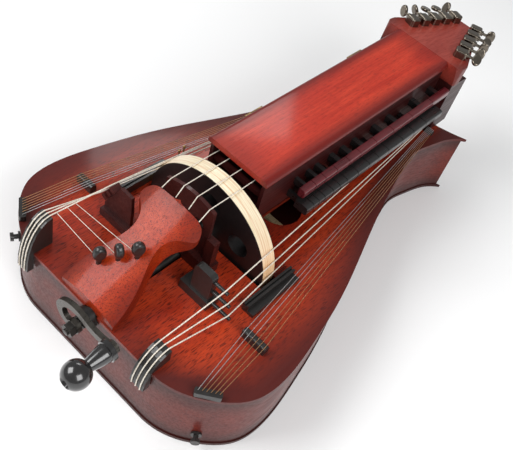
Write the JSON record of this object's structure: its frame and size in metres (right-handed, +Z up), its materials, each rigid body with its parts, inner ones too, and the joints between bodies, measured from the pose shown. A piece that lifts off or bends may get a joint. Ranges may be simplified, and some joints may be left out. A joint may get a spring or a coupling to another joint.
{
  "type": "hurdy gurdy",
  "caption": "Pear-shaped stringed instrument with a crank-turned wheel, lidded key box with sliding keys, drone and sympathetic strings, and a tapered head with tuners.",
  "frame": {"origin": "on the back's flat underside, straight below the centre of the wheel", "axes": "+Y from the crank end to the head, +X to the key side, +Z up out of the soundboard"},
  "size_m": [0.3382, 0.6976, 0.1987],
  "materials": {
    "mahogany": "gloss varnish, red burst",
    "head_wood": "gloss varnish",
    "inner_wood": "bare",
    "orange_wood": "gloss varnish",
    "rosewood": "satin",
    "ebony": "satin",
    "key_wood": "satin, dark shanks and maroon heads",
    "wheel_black": "satin",
    "rim_wood": "polished",
    "knob_black": "gloss",
    "dark_steel": "satin",
    "grey_steel": "satin",
    "nickel": "polished, smoky",
    "brass": "satin",
    "bone": "satin",
    "gut": "satin",
    "string_steel": "polished"
  },
  "bodies": {
    "frame": {"back_plate": "mahogany", "braces": "inner_wood", "brass_fittings": "brass", "bridges": "rosewood", "end_blocks": "inner_wood", "head": "head_wood", "head_block": "mahogany", "keybox": "mahogany", "keybox_frame": "mahogany", "nut": "bone", "pegs": "ebony", "played_strings": "gut", "ribs": "mahogany", "side_fittings": "rosewood", "soundboard": "mahogany", "string_holders": "ebony", "sympathetic_strings": "string_steel", "tailpiece": "orange_wood", "tuner_housings": "nickel"},
    "crank": {"wheel_disc": "wheel_black", "wheel_rim": "rim_wood", "axle": "dark_steel", "crank_arm": "grey_steel", "wheel_fittings": "dark_steel"},
    "knob": {"crank_knob": "knob_black"},
    "lid": {"lid": "mahogany"},
    "button_left_1": {"button_left_1": "nickel"},
    "button_left_2": {"button_left_2": "nickel"},
    "button_left_3": {"button_left_3": "nickel"},
    "button_left_4": {"button_left_4": "nickel"},
    "button_left_5": {"button_left_5": "nickel"},
    "button_right_1": {"button_right_1": "nickel"},
    "button_right_2": {"button_right_2": "nickel"},
    "button_right_3": {"button_right_3": "nickel"},
    "button_right_4": {"button_right_4": "nickel"},
    "button_right_5": {"button_right_5": "nickel"},
    "key_01": {"key_01": "key_wood"},
    "key_02": {"key_02": "key_wood"},
    "key_03": {"key_03": "key_wood"},
    "key_04": {"key_04": "key_wood"},
    "key_05": {"key_05": "key_wood"},
    "key_06": {"key_06": "key_wood"},
    "key_07": {"key_07": "key_wood"},
    "key_08": {"key_08": "key_wood"},
    "key_09": {"key_09": "key_wood"},
    "key_10": {"key_10": "key_wood"},
    "key_11": {"key_11": "key_wood"},
    "key_12": {"key_12": "key_wood"},
    "key_13": {"key_13": "key_wood"},
    "key_14": {"key_14": "key_wood"},
    "key_15": {"key_15": "key_wood"},
    "key_16": {"key_16": "key_wood"},
    "key_17": {"key_17": "key_wood"},
    "key_18": {"key_18": "key_wood"},
    "key_19": {"key_19": "key_wood"},
    "key_20": {"key_20": "key_wood"},
    "key_21": {"key_21": "key_wood"},
    "key_22": {"key_22": "key_wood"},
    "key_23": {"key_23": "key_wood"},
    "key_24": {"key_24": "key_wood"}
  },
  "joints": [
    {"name": "wheel_spin", "type": "hinge", "parent": "frame", "child": "crank", "pos_m": [0, 0, 0.094], "axis": [0, 0.9987, 0.0506], "continuous": true},
    {"name": "knob_spin", "type": "hinge", "parent": "crank", "child": "knob", "pos_m": [0.052, -0.17939, 0.11695], "axis": [0, 0.9987, 0.0506], "continuous": true},
    {"name": "lid_hinge", "type": "hinge", "parent": "frame", "child": "lid", "pos_m": [-0.0419, 0.1735, 0.1836], "axis": [0, -1, 0], "range_deg": [0, 100]},
    {"name": "key_01_slide", "type": "slide", "parent": "frame", "child": "key_01", "axis": [-1, 0, 0], "range_m": [0, 0.005], "stiffness_N_per_m": 60},
    {"name": "key_02_slide", "type": "slide", "parent": "frame", "child": "key_02", "axis": [-1, 0, 0], "range_m": [0, 0.005], "stiffness_N_per_m": 60},
    {"name": "key_03_slide", "type": "slide", "parent": "frame", "child": "key_03", "axis": [-1, 0, 0], "range_m": [0, 0.005], "stiffness_N_per_m": 60},
    {"name": "key_04_slide", "type": "slide", "parent": "frame", "child": "key_04", "axis": [-1, 0, 0], "range_m": [0, 0.005], "stiffness_N_per_m": 60},
    {"name": "key_05_slide", "type": "slide", "parent": "frame", "child": "key_05", "axis": [-1, 0, 0], "range_m": [0, 0.005], "stiffness_N_per_m": 60},
    {"name": "key_06_slide", "type": "slide", "parent": "frame", "child": "key_06", "axis": [-1, 0, 0], "range_m": [0, 0.005], "stiffness_N_per_m": 60},
    {"name": "key_07_slide", "type": "slide", "parent": "frame", "child": "key_07", "axis": [-1, 0, 0], "range_m": [0, 0.005], "stiffness_N_per_m": 60},
    {"name": "key_08_slide", "type": "slide", "parent": "frame", "child": "key_08", "axis": [-1, 0, 0], "range_m": [0, 0.005], "stiffness_N_per_m": 60},
    {"name": "key_09_slide", "type": "slide", "parent": "frame", "child": "key_09", "axis": [-1, 0, 0], "range_m": [0, 0.005], "stiffness_N_per_m": 60},
    {"name": "key_10_slide", "type": "slide", "parent": "frame", "child": "key_10", "axis": [-1, 0, 0], "range_m": [0, 0.005], "stiffness_N_per_m": 60},
    {"name": "key_11_slide", "type": "slide", "parent": "frame", "child": "key_11", "axis": [-1, 0, 0], "range_m": [0, 0.005], "stiffness_N_per_m": 60},
    {"name": "key_12_slide", "type": "slide", "parent": "frame", "child": "key_12", "axis": [-1, 0, 0], "range_m": [0, 0.005], "stiffness_N_per_m": 60},
    {"name": "key_13_slide", "type": "slide", "parent": "frame", "child": "key_13", "axis": [-1, 0, 0], "range_m": [0, 0.005], "stiffness_N_per_m": 60},
    {"name": "key_14_slide", "type": "slide", "parent": "frame", "child": "key_14", "axis": [-1, 0, 0], "range_m": [0, 0.005], "stiffness_N_per_m": 60},
    {"name": "key_15_slide", "type": "slide", "parent": "frame", "child": "key_15", "axis": [-1, 0, 0], "range_m": [0, 0.005], "stiffness_N_per_m": 60},
    {"name": "key_16_slide", "type": "slide", "parent": "frame", "child": "key_16", "axis": [-1, 0, 0], "range_m": [0, 0.005], "stiffness_N_per_m": 60},
    {"name": "key_17_slide", "type": "slide", "parent": "frame", "child": "key_17", "axis": [-1, 0, 0], "range_m": [0, 0.005], "stiffness_N_per_m": 60},
    {"name": "key_18_slide", "type": "slide", "parent": "frame", "child": "key_18", "axis": [-1, 0, 0], "range_m": [0, 0.005], "stiffness_N_per_m": 60},
    {"name": "key_19_slide", "type": "slide", "parent": "frame", "child": "key_19", "axis": [-1, 0, 0], "range_m": [0, 0.005], "stiffness_N_per_m": 60},
    {"name": "key_20_slide", "type": "slide", "parent": "frame", "child": "key_20", "axis": [-1, 0, 0], "range_m": [0, 0.005], "stiffness_N_per_m": 60},
    {"name": "key_21_slide", "type": "slide", "parent": "frame", "child": "key_21", "axis": [-1, 0, 0], "range_m": [0, 0.005], "stiffness_N_per_m": 60},
    {"name": "key_22_slide", "type": "slide", "parent": "frame", "child": "key_22", "axis": [-1, 0, 0], "range_m": [0, 0.005], "stiffness_N_per_m": 60},
    {"name": "key_23_slide", "type": "slide", "parent": "frame", "child": "key_23", "axis": [-1, 0, 0], "range_m": [0, 0.005], "stiffness_N_per_m": 60},
    {"name": "key_24_slide", "type": "slide", "parent": "frame", "child": "key_24", "axis": [-1, 0, 0], "range_m": [0, 0.005], "stiffness_N_per_m": 60},
    {"name": "button_left_1_turn", "type": "hinge", "parent": "frame", "child": "button_left_1", "pos_m": [-0.04483, 0.37987, 0.19136], "axis": [-0.9272, 0.371, -0.0521], "continuous": true},
    {"name": "button_left_2_turn", "type": "hinge", "parent": "frame", "child": "button_left_2", "pos_m": [-0.03963, 0.39967, 0.18858], "axis": [-0.9272, 0.371, -0.0521], "continuous": true},
    {"name": "button_left_3_turn", "type": "hinge", "parent": "frame", "child": "button_left_3", "pos_m": [-0.03443, 0.41948, 0.18579], "axis": [-0.9272, 0.371, -0.0521], "continuous": true},
    {"name": "button_left_4_turn", "type": "hinge", "parent": "frame", "child": "button_left_4", "pos_m": [-0.02923, 0.43928, 0.18301], "axis": [-0.9272, 0.371, -0.0521], "continuous": true},
    {"name": "button_left_5_turn", "type": "hinge", "parent": "frame", "child": "button_left_5", "pos_m": [-0.02403, 0.45909, 0.18023], "axis": [-0.9272, 0.371, -0.0521], "continuous": true},
    {"name": "button_right_1_turn", "type": "hinge", "parent": "frame", "child": "button_right_1", "pos_m": [0.04483, 0.37987, 0.19136], "axis": [0.9272, 0.371, -0.0521], "continuous": true},
    {"name": "button_right_2_turn", "type": "hinge", "parent": "frame", "child": "button_right_2", "pos_m": [0.03963, 0.39967, 0.18858], "axis": [0.9272, 0.371, -0.0521], "continuous": true},
    {"name": "button_right_3_turn", "type": "hinge", "parent": "frame", "child": "button_right_3", "pos_m": [0.03443, 0.41948, 0.18579], "axis": [0.9272, 0.371, -0.0521], "continuous": true},
    {"name": "button_right_4_turn", "type": "hinge", "parent": "frame", "child": "button_right_4", "pos_m": [0.02923, 0.43928, 0.18301], "axis": [0.9272, 0.371, -0.0521], "continuous": true},
    {"name": "button_right_5_turn", "type": "hinge", "parent": "frame", "child": "button_right_5", "pos_m": [0.02403, 0.45909, 0.18023], "axis": [0.9272, 0.371, -0.0521], "continuous": true}
  ]
}
